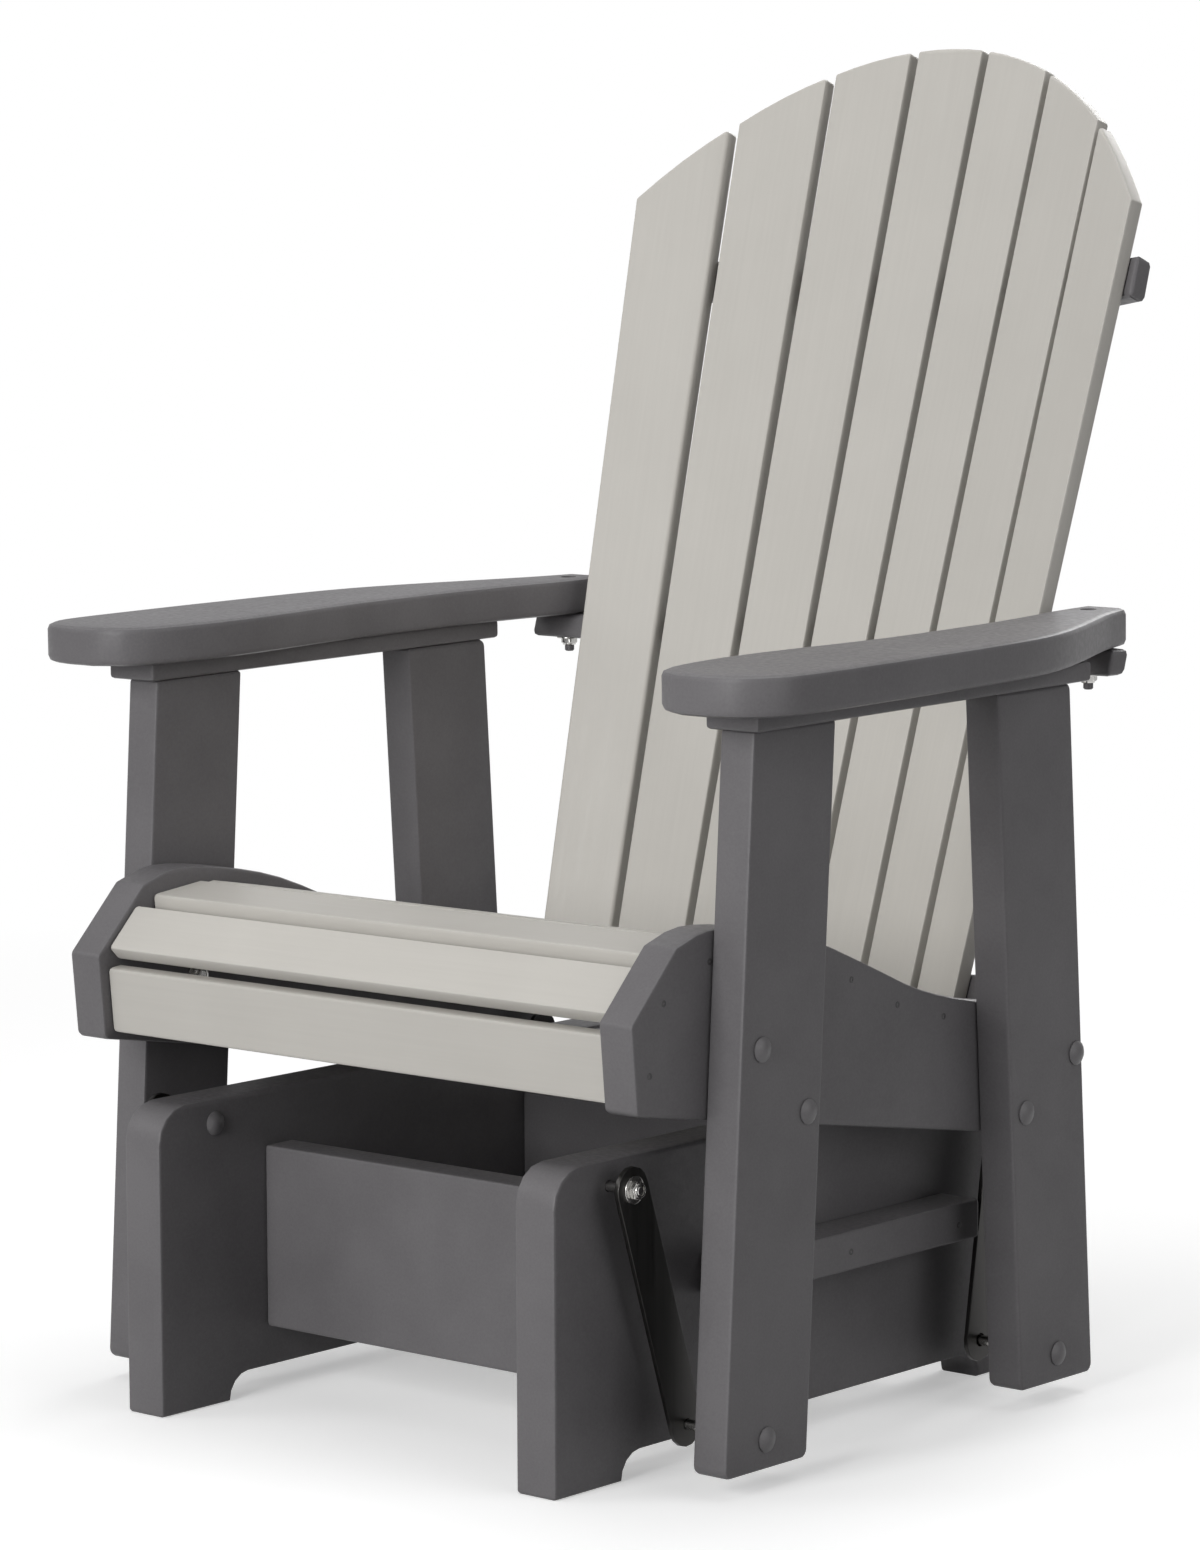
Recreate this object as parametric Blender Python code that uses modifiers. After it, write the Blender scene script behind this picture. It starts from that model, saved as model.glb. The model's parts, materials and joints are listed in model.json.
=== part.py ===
"""Glider chair in poly lumber: a slatted seat with a fan back hangs on steel swing arms from a fixed base.

Metres. X runs across the chair, with the sitter's left at +X. Y runs from the front to the rear and Z is up.
Heights are over the floor, and setbacks along Y are measured from the front of the base. At the end the whole
chair is moved so that its middle stands over the origin.
"""

import math

import bmesh
import bpy
from mathutils import Matrix, Vector

# Fits
TOUCH_GAP = 0.0003
WELD_REACH = 0.00001
BOLT_PLAY = 0.0004
OPEN_PIVOT_PLAY = 0.0015
CUT_OVERRUN = 0.004

# Board stock
SIDE_BOARD = 0.038
FRAME_BOARD = 0.0315
SLAT_BOARD = 0.015
RAIL_BOARD = 0.0155
ARMREST_BOARD = 0.030
BACK_RAIL_BOARD = 0.020
BOARD_EDGE = 0.003
SLAT_EDGE = 0.0035
BACK_SLAT_EDGE = 0.0025
ARMREST_EDGE = 0.005
BACK_RAIL_EDGE = 0.0045

# Base
BASE_LENGTH = 0.589
BASE_WIDTH = 0.439
BASE_HEIGHT = 0.242
BASE_CORNER = 0.029
FOOT_LENGTH = 0.0755
FOOT_ARCH = 0.0205
PANEL_BOTTOM = 0.053
PANEL_HEIGHT = 0.145
FRONT_PANEL_SETBACK = 0.1155
REAR_PANEL_SETBACK = 0.4218
STRIP_SETBACK = 0.164
STRIP_LENGTH = 0.298
STRIP_WIDTH = 0.031
STRIP_MIDDLE = 0.1416

# Swing arms and their pivots, with the leans at rest
ARM_CENTRES = 0.194
ARM_WIDTH = 0.034
ARM_PLATE = 0.004
ARM_EDGE = 0.0005
ARM_STANDOFF = 0.0195
FRONT_ARM_LEAN = math.radians(18.2)
REAR_ARM_LEAN = math.radians(-8.9)
PIVOT_HEIGHT = 0.0385
PIVOT_SPREAD = 0.3625
FRONT_PIVOT_SETBACK = 0.1215

# Legs
LEG_SPACING = 0.572
LEG_WIDTH = 0.0955
LEG_LEAN = math.radians(3.62)
LEG_CLEARANCE = 0.016
LEG_CORNER = 0.007
FRONT_LEG_SETBACK = 0.0742
REAR_LEG_SETBACK = 0.4357

# Seat sides
SEAT_SIDE_SETBACK = 0.009
SEAT_SIDE_LENGTH = 0.516
SEAT_SIDE_DEPTH = 0.211
SEAT_SIDE_BOTTOM = 0.2015
SEAT_SIDE_CORNER = 0.006

# Seat slats
FASCIA_WIDTH = 0.0518
FASCIA_START = 0.0110
FASCIA_INSET = 0.0080
NOSE_SLAT_WIDTH = 0.0437
NOSE_SLAT_START = 0.0105
NOSE_SLAT_INSET = 0.0036
SEAT_SLAT_COUNT = 7
SEAT_SLAT_WIDTH = 0.054
SEAT_SLAT_PITCH = 0.0594
SEAT_SLAT_INSET = 0.0105
FIRST_SEAT_SLAT = 0.0320

# Arm rails and armrests
RAIL_WIDTH = 0.049
RAIL_OVERHANG = 0.0117
RAIL_SETBACK = 0.0982
RAIL_LENGTH = 0.4096
RAIL_HEIGHT = 0.5573
ARM_RISE = math.radians(0.84)
ARMREST_SETBACK = 0.046
ARMREST_LENGTH = 0.567
ARMREST_WIDTH = 0.1235
ARMREST_SPACING = 0.504
ARMREST_TIP_CORNER = 0.006

# Back
BACK_SLAT_COUNT = 7
BACK_RECLINE = math.radians(17.41)
BACK_RADIUS = 0.535
BACK_SETBACK = 0.5155
BACK_BOTTOM = 0.258
BACK_TOP = 1.0545
BACK_ARCH_REACH = 0.382
BACK_ARCH_RISE = 0.480
SLAT_WIDTH_LOW = 0.0598
SLAT_WIDTH_HIGH = 0.0764
SLAT_GAP_LOW = 0.0064
SLAT_GAP_HIGH = 0.0070
UPPER_RAIL_WIDTH = 0.034
UPPER_RAIL_PLACE = 0.6265
UPPER_RAIL_LENGTH = 0.526
LOWER_RAIL_WIDTH = 0.045
LOWER_RAIL_PLACE = 0.0385
MIDDLE_RAIL_BOARD = 0.020
MIDDLE_RAIL_EAR = 0.021
MIDDLE_RAIL_EAR_SETBACK = 0.575
MIDDLE_RAIL_LENGTH = 0.600

# Fasteners
BOLT_DIAMETER = 0.008
BOLT_HEAD_DIAMETER = 0.019
BOLT_HEAD_DOME = 0.0038
BOLT_HEAD_RIM = 0.0008
BOLT_TIP = 0.001
BOLT_END = 0.0075
ARMREST_BOLT_SPACING = 0.540
ARMREST_BOLT_SETBACK = 0.5865
ARMREST_BOLT_END = 0.013
ARMREST_BOLT_HEAD_DIAMETER = 0.0125
ARMREST_BOLT_HEAD_HEIGHT = 0.005
COUNTERBORE_DEPTH = 0.009
COUNTERBORE_PLAY = 0.0004

# Leg bolts: setbacks and heights
FRONT_LEG_BOLTS = ((0.1167, 0.3260), (0.1701, 0.2735))
REAR_LEG_BOLTS = ((0.5059, 0.2725), (0.4403, 0.2345))

# Facets on round stretches
CORNER_STEPS = 4
RUN_STEPS = 3
BAND_STEPS = 14
ROUND_STEPS = 16
DOME_STEPS = 3
HOLE_SIDES = 20
ARCH_ROUNDS = 8

# The seat side's outline, as shares of its length from the front and of its depth from the bottom
SEAT_SIDE_REAR_SHARES = ((1.0, 0.488), (1.0, 0.0))
SEAT_SIDE_FRONT_SHARES = ((0.012, 0.404), (0.0, 0.718), (0.097, 0.957))
SEAT_SIDE_TOP_SHARES = (
    (0.097, 0.957),
    (0.167, 1.0),
    (0.273, 0.976),
    (0.399, 0.905),
    (0.545, 0.763),
    (0.661, 0.647),
    (0.797, 0.566),
    (1.0, 0.488),
)

# The armrest's outline, as shares of its width from the inside and of its length from the front
ARMREST_INSIDE_SHARES = (
    (-0.020, 1.0),
    (0.0, 0.905),
    (0.057, 0.822),
    (0.105, 0.702),
    (0.118, 0.495),
    (0.040, 0.328),
    (0.0, 0.216),
    (0.024, 0.115),
    (0.120, 0.036),
    (0.364, 0.0),
)
ARMREST_OUTSIDE_SHARES = (
    (0.591, 0.0),
    (0.775, 0.011),
    (0.920, 0.042),
    (0.990, 0.098),
    (1.0, 0.234),
    (0.984, 0.392),
    (0.930, 0.595),
    (0.777, 0.728),
    (0.430, 0.910),
    (0.300, 1.0),
)

# Widths of the back slats at their feet and heads, from the middle slat to an outermost one
SLAT_LOW_SHARES = (0.850, 0.948, 1.0, 0.975)
SLAT_HIGH_SHARES = (0.873, 0.918, 0.988, 1.0)

# How much of its turn a back slat's side faces give back, so that they run nearly straight to the rear
SLAT_LEAN_SHARE = 0.7

# Where the arch is measured across a back slat's half width, and how far a flat on a rail runs into each gap
ARCH_SHARES = (1.0, 0.5, 0.0, -0.5, -1.0)
SEAT_MARGIN_SHARE = 0.3

# Places worked out from the sizes above
SIDES = {"left": 1, "right": -1}
BASE_OUTER_FACE = BASE_WIDTH / 2
BASE_INNER_FACE = BASE_OUTER_FACE - SIDE_BOARD
ARM_INNER_FACE = BASE_OUTER_FACE + ARM_STANDOFF
ARM_OUTER_FACE = ARM_INNER_FACE + ARM_PLATE
LEG_INNER_FACE = LEG_SPACING / 2
LEG_OUTER_FACE = LEG_INNER_FACE + FRAME_BOARD
SEAT_OUTER_FACE = LEG_INNER_FACE - TOUCH_GAP
SEAT_INNER_FACE = SEAT_OUTER_FACE - FRAME_BOARD
SEAT_SLAT_LENGTH = 2 * (SEAT_INNER_FACE - TOUCH_GAP)
BACK_LENGTH = (BACK_TOP - BACK_BOTTOM) / math.cos(BACK_RECLINE)
BACK_RAIL_RADIUS = BACK_RADIUS + SLAT_BOARD + TOUCH_GAP
BOLT_RADIUS = BOLT_DIAMETER / 2
HOLE_RADIUS = BOLT_RADIUS + BOLT_PLAY
OPEN_HOLE_RADIUS = BOLT_RADIUS + OPEN_PIVOT_PLAY
LEG_BOLTS = {"front": FRONT_LEG_BOLTS, "rear": REAR_LEG_BOLTS}
LEANS = {"front": FRONT_ARM_LEAN, "rear": REAR_ARM_LEAN}
LOWER_PIVOTS = {
    "front": Vector((0.0, FRONT_PIVOT_SETBACK, PIVOT_HEIGHT)),
    "rear": Vector((0.0, FRONT_PIVOT_SETBACK + PIVOT_SPREAD, PIVOT_HEIGHT)),
}
UPPER_PIVOTS = {end: LOWER_PIVOTS[end] + ARM_CENTRES * Vector((0.0, -math.sin(lean), math.cos(lean)))
                for end, lean in LEANS.items()}

# Stands an outline drawn in X and Y up in the plane of Y and Z, with its thickness along X
STANDING = Matrix.Rotation(math.radians(90), 4, "Z") @ Matrix.Rotation(math.radians(90), 4, "X")
# Turns Z to point along X
ALONG_X = Matrix.Rotation(math.radians(90), 4, "Y")
# Lays X and Y in the plane of the armrests' underside
ARM_PLANE = Matrix.Translation((0.0, RAIL_SETBACK, RAIL_HEIGHT)) @ Matrix.Rotation(ARM_RISE, 4, "X")
# Puts Z along the back's recline and Y out of its rear
BACK_PLANE = Matrix.Translation((0.0, BACK_SETBACK, BACK_BOTTOM)) @ Matrix.Rotation(-BACK_RECLINE, 4, "X")

# Finishes
DARK_BOARD = {"colour": (0.095, 0.092, 0.095, 1.0), "roughness": 0.62, "metallic": 0.0}
LIGHT_BOARD = {"colour": (0.56, 0.54, 0.50, 1.0), "roughness": 0.58, "metallic": 0.0}
STEEL = {"colour": (0.55, 0.55, 0.54, 1.0), "roughness": 0.3, "metallic": 1.0}


# Scene, materials and parenting

def clear_scene():
    """Remove every object that the file opened with."""
    for item in list(bpy.data.objects):
        bpy.data.objects.remove(item, do_unlink=True)


def new_collection(name):
    """Make a collection in the scene."""
    made = bpy.data.collections.new(name)
    bpy.context.scene.collection.children.link(made)
    return made


def new_empty(name, place, parent=None):
    """Make an empty that carries the pieces of one body."""
    made = bpy.data.objects.new(name, None)
    made.location = place
    chair.objects.link(made)
    if parent:
        attach(made, parent)
    return made


def attach(piece, parent):
    """Parent a piece and keep it where it stands."""
    bpy.context.view_layer.update()
    piece.parent = parent
    piece.matrix_parent_inverse = parent.matrix_world.inverted()


def add_piece(piece, finish, parent):
    """File a finished shape as a piece of the chair, with a material of its own."""
    made = bpy.data.materials.new(piece.name + "_finish")
    made.use_nodes = True
    made.diffuse_color = finish["colour"]
    shader = made.node_tree.nodes["Principled BSDF"]
    shader.inputs["Base Color"].default_value = finish["colour"]
    shader.inputs["Roughness"].default_value = finish["roughness"]
    shader.inputs["Metallic"].default_value = finish["metallic"]
    piece.data.materials.clear()
    piece.data.materials.append(made)
    chair.objects.link(piece)
    attach(piece, parent)
    return piece


# Outlines

def corner_arc(before, corner, after, radius):
    """Points of the arc that rounds one corner of an outline."""
    to_before = (before - corner).normalized()
    to_after = (after - corner).normalized()
    half_angle = to_before.angle(to_after) / 2
    reach = radius / math.tan(half_angle)
    centre = corner + (to_before + to_after).normalized() * (radius / math.sin(half_angle))
    start = corner + to_before * reach - centre
    end = corner + to_after * reach - centre
    sweep = start.angle_signed(end)
    turns = [Matrix.Rotation(-sweep * step / CORNER_STEPS, 2) for step in range(CORNER_STEPS + 1)]
    return [centre + turn @ start for turn in turns]


def rounded(corners):
    """Outline whose corners are given as place and radius, and left sharp where the radius is zero."""
    places = [Vector(place) for place, _ in corners]
    outline = []
    for index, (_, radius) in enumerate(corners):
        if radius > 0:
            after = places[(index + 1) % len(places)]
            outline += corner_arc(places[index - 1], places[index], after, radius)
        else:
            outline.append(places[index])
    return outline


def sharp(places):
    """The same places as corners that stay sharp."""
    return [(place, 0.0) for place in places]


def smooth_run(places):
    """Points of a smooth curve through a few places, where each stretch leaves along its neighbours' line."""
    places = [Vector(place) for place in places]
    padded = [2 * places[0] - places[1]] + places + [2 * places[-1] - places[-2]]
    run = []
    for a, b, c, d in zip(padded, padded[1:], padded[2:], padded[3:]):
        for step in range(RUN_STEPS):
            t = step / RUN_STEPS
            bend = (2 * a - 5 * b + 4 * c - d) * t ** 2 + (3 * b - a - 3 * c + d) * t ** 3
            run.append((2 * b + (c - a) * t + bend) / 2)
    return run + [places[-1]]


def arc(centre, radius, start, end, steps):
    """Points of an arc, with angles counted from the first axis towards the second."""
    angles = [start + (end - start) * step / steps for step in range(steps + 1)]
    return [Vector((centre[0] + radius * math.cos(angle), centre[1] + radius * math.sin(angle)))
            for angle in angles]


# Shapes

def curve_to_mesh(source, name):
    """Turn a curve into a mesh whose caps are welded to its sides."""
    bpy.context.view_layer.update()
    mesh = bpy.data.meshes.new_from_object(source.evaluated_get(bpy.context.evaluated_depsgraph_get()))
    shape = bmesh.new()
    shape.from_mesh(mesh)
    bmesh.ops.remove_doubles(shape, verts=shape.verts, dist=WELD_REACH)
    bmesh.ops.recalc_face_normals(shape, faces=shape.faces)
    shape.to_mesh(mesh)
    shape.free()
    made = bpy.data.objects.new(name, mesh)
    made.matrix_world = source.matrix_world
    bpy.data.objects.remove(source, do_unlink=True)
    return made


def sawn_board(name, outline, thickness, edge, placing, finish, parent, shear=(0.0, 0.0)):
    """A board sawn to an outline, with rounded edges and its thickness centred on the outline's plane."""
    curve = bpy.data.curves.new(name, "CURVE")
    curve.dimensions = "2D"
    curve.fill_mode = "BOTH"
    curve.extrude = thickness / 2 - edge
    curve.bevel_depth = edge
    curve.bevel_resolution = 1
    curve.offset = -edge
    spline = curve.splines.new("POLY")
    spline.points.add(len(outline) - 1)
    for point, place in zip(spline.points, outline):
        point.co = (place.x, place.y, 0.0, 1.0)
    spline.use_cyclic_u = True
    drawing = bpy.data.objects.new(name + "_outline", curve)
    drawing.matrix_world = placing
    guides.objects.link(drawing)
    piece = curve_to_mesh(drawing, name)
    slope = Matrix.Identity(4)
    slope[0][2], slope[1][2] = shear
    piece.data.transform(slope)
    return add_piece(piece, finish, parent)


def straight_board(name, size, placing, edge, finish, parent):
    """A straight board with rounded edges."""
    mesh = bpy.data.meshes.new(name)
    shape = bmesh.new()
    bmesh.ops.create_cube(shape, size=1.0, matrix=Matrix.Diagonal((*size, 1.0)))
    shape.to_mesh(mesh)
    shape.free()
    piece = bpy.data.objects.new(name, mesh)
    piece.matrix_world = placing
    rounding = piece.modifiers.new("rounded_edges", "BEVEL")
    rounding.width = edge
    rounding.segments = 2
    return add_piece(piece, finish, parent)


def bolt(name, head, placing, length, parent):
    """A bolt with its head's underside at Z = 0 and a plain shank below it, turned round Z."""
    profile = head + [(BOLT_RADIUS, 0.0), (BOLT_RADIUS, BOLT_TIP - length)]
    profile += [(BOLT_RADIUS - BOLT_TIP, -length), (0.0, -length)]
    mesh = bpy.data.meshes.new(name)
    links = [(index, index + 1) for index in range(len(profile) - 1)]
    mesh.from_pydata([(radius, 0.0, height) for radius, height in profile], links, [])
    piece = bpy.data.objects.new(name, mesh)
    piece.matrix_world = placing
    turning = piece.modifiers.new("turning", "SCREW")
    turning.steps = ROUND_STEPS
    turning.render_steps = ROUND_STEPS
    turning.use_merge_vertices = True
    turning.merge_threshold = WELD_REACH
    turning.use_smooth_shade = True
    return add_piece(piece, STEEL, parent)


def domed_head():
    """Profile of a carriage bolt's low domed head, from its top to its underside."""
    head_radius = BOLT_HEAD_DIAMETER / 2
    ball = (head_radius ** 2 + BOLT_HEAD_DOME ** 2) / (2 * BOLT_HEAD_DOME)
    rim_angle = math.asin(head_radius / ball)
    angles = [rim_angle * step / DOME_STEPS for step in range(DOME_STEPS + 1)]
    ball_centre = BOLT_HEAD_RIM + BOLT_HEAD_DOME - ball
    dome = [(ball * math.sin(angle), ball_centre + ball * math.cos(angle)) for angle in angles]
    return dome + [(head_radius, 0.0)]


def flat_head():
    """Profile of the flat round head that is sunk into an armrest."""
    radius = ARMREST_BOLT_HEAD_DIAMETER / 2
    return [(0.0, ARMREST_BOLT_HEAD_HEIGHT), (radius - BOLT_TIP, ARMREST_BOLT_HEAD_HEIGHT),
            (radius, ARMREST_BOLT_HEAD_HEIGHT - BOLT_TIP), (radius, 0.0)]


def drill(piece, place, direction, radius, depth):
    """Drill a round hole through a piece, centred on a place."""
    mesh = bpy.data.meshes.new(piece.name + "_drill")
    shape = bmesh.new()
    bmesh.ops.create_cone(shape, cap_ends=True, segments=HOLE_SIDES, radius1=radius, radius2=radius,
                          depth=depth + 2 * CUT_OVERRUN)
    shape.to_mesh(mesh)
    shape.free()
    cutter = bpy.data.objects.new(piece.name + "_drill", mesh)
    cutter.matrix_world = Matrix.Translation(place) @ direction
    cutter.hide_render = True
    cutter.display_type = "WIRE"
    guides.objects.link(cutter)
    attach(cutter, piece.parent)
    hole = piece.modifiers.new("bolt_hole", "BOOLEAN")
    hole.operation = "DIFFERENCE"
    hole.solver = "EXACT"
    hole.object = cutter


def place_in(x, pivot):
    """A pivot's place moved across the chair to X."""
    return Vector((x, pivot.y, pivot.z))


# Base

def build_base_side(label, side):
    """Side of the base, on two feet with an arch between them."""
    upright = math.radians(90)
    arch_start = FOOT_LENGTH + FOOT_ARCH
    front_arch = arc((arch_start, 0.0), FOOT_ARCH, 2 * upright, upright, CORNER_STEPS)
    rear_arch = arc((BASE_LENGTH - arch_start, 0.0), FOOT_ARCH, upright, 0.0, CORNER_STEPS)
    corners = [((0.0, 0.0), BOARD_EDGE)] + sharp(front_arch + rear_arch)
    corners += [((BASE_LENGTH, 0.0), BOARD_EDGE), ((BASE_LENGTH, BASE_HEIGHT), BASE_CORNER),
                ((0.0, BASE_HEIGHT), BASE_CORNER)]
    middle = side * (BASE_OUTER_FACE + BASE_INNER_FACE) / 2
    placing = Matrix.Translation((middle, 0.0, 0.0)) @ STANDING
    outline = rounded(corners)
    panel = sawn_board("base_side_" + label, outline, SIDE_BOARD, BOARD_EDGE, placing, DARK_BOARD, base)
    for pivot in UPPER_PIVOTS.values():
        drill(panel, place_in(middle, pivot), ALONG_X, HOLE_RADIUS, SIDE_BOARD)


def build_base_panel(name, setback):
    """Cross panel between the two sides of the base."""
    size = (2 * (BASE_INNER_FACE - TOUCH_GAP), FRAME_BOARD, PANEL_HEIGHT)
    place = (0.0, setback + FRAME_BOARD / 2, PANEL_BOTTOM + PANEL_HEIGHT / 2)
    straight_board(name, size, Matrix.Translation(place), BOARD_EDGE, DARK_BOARD, base)


def build_stop_strip(label, side):
    """Strip on the outside of the base, between the swing arms, whose rear end stops the rear arm."""
    x = side * (BASE_OUTER_FACE + TOUCH_GAP + SIDE_BOARD / 2)
    place = (x, STRIP_SETBACK + STRIP_LENGTH / 2, STRIP_MIDDLE)
    size = (SIDE_BOARD, STRIP_LENGTH, STRIP_WIDTH)
    straight_board("stop_strip_" + label, size, Matrix.Translation(place), BOARD_EDGE, DARK_BOARD, base)


# Swing arms and pivots

def build_swing_arm(end, label, side):
    """Flat bar with round ends that hangs on one upper pivot."""
    half_width = ARM_WIDTH / 2
    top = arc((0.0, 0.0), half_width, 0.0, math.radians(180), 2 * CORNER_STEPS)
    foot = arc((0.0, -ARM_CENTRES), half_width, math.radians(180), math.radians(360), 2 * CORNER_STEPS)
    x = side * (ARM_INNER_FACE + ARM_OUTER_FACE) / 2
    lean = Matrix.Rotation(LEANS[end], 4, "Z")
    placing = Matrix.Translation(place_in(x, UPPER_PIVOTS[end])) @ STANDING @ lean
    name = "swing_arm_" + end + "_" + label
    bar = sawn_board(name, top + foot, ARM_PLATE, ARM_EDGE, placing, STEEL, arms[end])
    drill(bar, place_in(x, UPPER_PIVOTS[end]), ALONG_X, HOLE_RADIUS, ARM_PLATE)
    lower_radius = OPEN_HOLE_RADIUS if end == "rear" else HOLE_RADIUS
    drill(bar, place_in(x, LOWER_PIVOTS[end]), ALONG_X, lower_radius, ARM_PLATE)


def build_pivot_bolts(end, label, side):
    """Upper bolt from inside the base out through the arm, and lower bolt through the leg in to the arm."""
    outward = Matrix.Rotation(side * math.radians(90), 4, "Y")
    inward = Matrix.Rotation(-side * math.radians(90), 4, "Y")
    upper_head = place_in(side * (BASE_INNER_FACE - TOUCH_GAP), UPPER_PIVOTS[end])
    upper_length = ARM_OUTER_FACE + BOLT_END - BASE_INNER_FACE
    upper_name = f"upper_pivot_bolt_{end}_{label}"
    bolt(upper_name, domed_head(), Matrix.Translation(upper_head) @ inward, upper_length, base)
    lower_head = place_in(side * (LEG_OUTER_FACE + TOUCH_GAP), LOWER_PIVOTS[end])
    lower_length = LEG_OUTER_FACE - ARM_INNER_FACE + BOLT_END
    lower_name = f"lower_pivot_bolt_{end}_{label}"
    bolt(lower_name, domed_head(), Matrix.Translation(lower_head) @ outward, lower_length, seat)


# Seat frame

def build_leg(end, label, side):
    """Leg that leans towards the middle of the chair and carries an arm rail on its top."""
    setback = FRONT_LEG_SETBACK if end == "front" else REAR_LEG_SETBACK
    lean = math.tan(LEG_LEAN) if end == "front" else -math.tan(LEG_LEAN)
    rail_slope = math.tan(ARM_RISE)
    top_corner = LEG_CORNER if end == "rear" else BOARD_EDGE
    corners = []
    for edge, radius in ((setback, BOARD_EDGE), (setback + LEG_WIDTH, top_corner)):
        height = RAIL_HEIGHT - TOUCH_GAP + rail_slope * (edge - lean * LEG_CLEARANCE - RAIL_SETBACK)
        top = height / (1 - rail_slope * lean)
        corners.append(((edge, LEG_CLEARANCE), LEG_CORNER))
        corners.append(((edge + lean * (top - LEG_CLEARANCE), top), radius))
    outline = rounded([corners[0], corners[2], corners[3], corners[1]])
    middle = side * (LEG_INNER_FACE + LEG_OUTER_FACE) / 2
    placing = Matrix.Translation((middle, 0.0, 0.0)) @ STANDING
    leg = sawn_board(end + "_leg_" + label, outline, FRAME_BOARD, BOARD_EDGE, placing, DARK_BOARD, seat)
    drill(leg, place_in(middle, LOWER_PIVOTS[end]), ALONG_X, HOLE_RADIUS, FRAME_BOARD)
    for y, z in LEG_BOLTS[end]:
        drill(leg, (middle, y, z), ALONG_X, HOLE_RADIUS, FRAME_BOARD)


def build_leg_bolts(end, label, side):
    """Two bolts that hold the seat side to a leg."""
    outward = Matrix.Rotation(side * math.radians(90), 4, "Y")
    x = side * (LEG_OUTER_FACE + TOUCH_GAP)
    length = LEG_OUTER_FACE - SEAT_INNER_FACE + BOLT_END
    for number, (y, z) in enumerate(LEG_BOLTS[end], start=1):
        name = f"leg_bolt_{end}_{number}_{label}"
        bolt(name, domed_head(), Matrix.Translation((x, y, z)) @ outward, length, seat)


def seat_place(shares):
    """A share of the seat side's length and depth as a place in the plane of Y and Z."""
    setback = SEAT_SIDE_SETBACK + shares[0] * SEAT_SIDE_LENGTH
    return Vector((setback, SEAT_SIDE_BOTTOM + shares[1] * SEAT_SIDE_DEPTH))


def seat_top_run():
    """The curve of the seat side's top edge, from the front to the rear."""
    return smooth_run([seat_place(shares) for shares in SEAT_SIDE_TOP_SHARES])


def build_seat_side(label, side):
    """Seat side with a sloped nose and a dished top edge."""
    corners = [(seat_place(shares), SEAT_SIDE_CORNER) for shares in SEAT_SIDE_FRONT_SHARES]
    corners += sharp(seat_top_run()[1:-1])
    corners += [(seat_place(shares), SEAT_SIDE_CORNER) for shares in SEAT_SIDE_REAR_SHARES]
    middle = side * (SEAT_OUTER_FACE + SEAT_INNER_FACE) / 2
    placing = Matrix.Translation((middle, 0.0, 0.0)) @ STANDING
    outline = rounded(corners)
    panel = sawn_board("seat_side_" + label, outline, FRAME_BOARD, BOARD_EDGE, placing, DARK_BOARD, seat)
    for y, z in FRONT_LEG_BOLTS + REAR_LEG_BOLTS:
        drill(panel, (middle, y, z), ALONG_X, HOLE_RADIUS, FRAME_BOARD)


def build_seat_slat(name, middle, direction, width):
    """Slat between the seat sides, along a direction in the plane of Y and Z."""
    tilt = Matrix.Rotation(math.atan2(direction.y, direction.x), 4, "X")
    placing = Matrix.Translation((0.0, middle.x, middle.y)) @ tilt
    straight_board(name, (SEAT_SLAT_LENGTH, width, SLAT_BOARD), placing, SLAT_EDGE, LIGHT_BOARD, seat)


def below(direction):
    """Direction square to an edge of the seat side, into it."""
    return Vector((direction.y, -direction.x))


def build_front_slats():
    """Fascia down the seat's front and the slat over its nose."""
    foot, nose, kink = [seat_place(shares) for shares in SEAT_SIDE_FRONT_SHARES]
    up = (nose - foot).normalized()
    back = (kink - nose).normalized()
    fascia_middle = nose - up * (FASCIA_START + FASCIA_WIDTH / 2)
    fascia_middle += below(up) * (FASCIA_INSET + SLAT_BOARD / 2)
    build_seat_slat("seat_fascia", fascia_middle, up, FASCIA_WIDTH)
    nose_middle = nose + back * (NOSE_SLAT_START + NOSE_SLAT_WIDTH / 2)
    nose_middle += below(back) * (NOSE_SLAT_INSET + SLAT_BOARD / 2)
    build_seat_slat("seat_nose_slat", nose_middle, back, NOSE_SLAT_WIDTH)


def inset_run(run, depth):
    """The run moved square to itself, into the seat side."""
    ends = [run[0]] + run + [run[-1]]
    return [place + below((after - before).normalized()) * depth
            for before, place, after in zip(ends, run, ends[2:])]


def walk(run, distance):
    """The place at a distance along a run, which carries on straight past its end."""
    for start, end in zip(run, run[1:]):
        stretch = (end - start).length
        if distance <= stretch or end is run[-1]:
            return start + (end - start).normalized() * distance
        distance -= stretch


def build_seat_slats():
    """Slats at an even pitch under the seat sides' top edge, each flat along its stretch of the curve."""
    run = inset_run(seat_top_run(), SEAT_SLAT_INSET + SLAT_BOARD / 2)
    for number in range(SEAT_SLAT_COUNT):
        distance = FIRST_SEAT_SLAT + number * SEAT_SLAT_PITCH
        ahead = walk(run, distance - SEAT_SLAT_WIDTH / 2)
        behind = walk(run, distance + SEAT_SLAT_WIDTH / 2)
        direction = (behind - ahead).normalized()
        build_seat_slat(f"seat_slat_{number + 1}", (ahead + behind) / 2, direction, SEAT_SLAT_WIDTH)


# Arms

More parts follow.
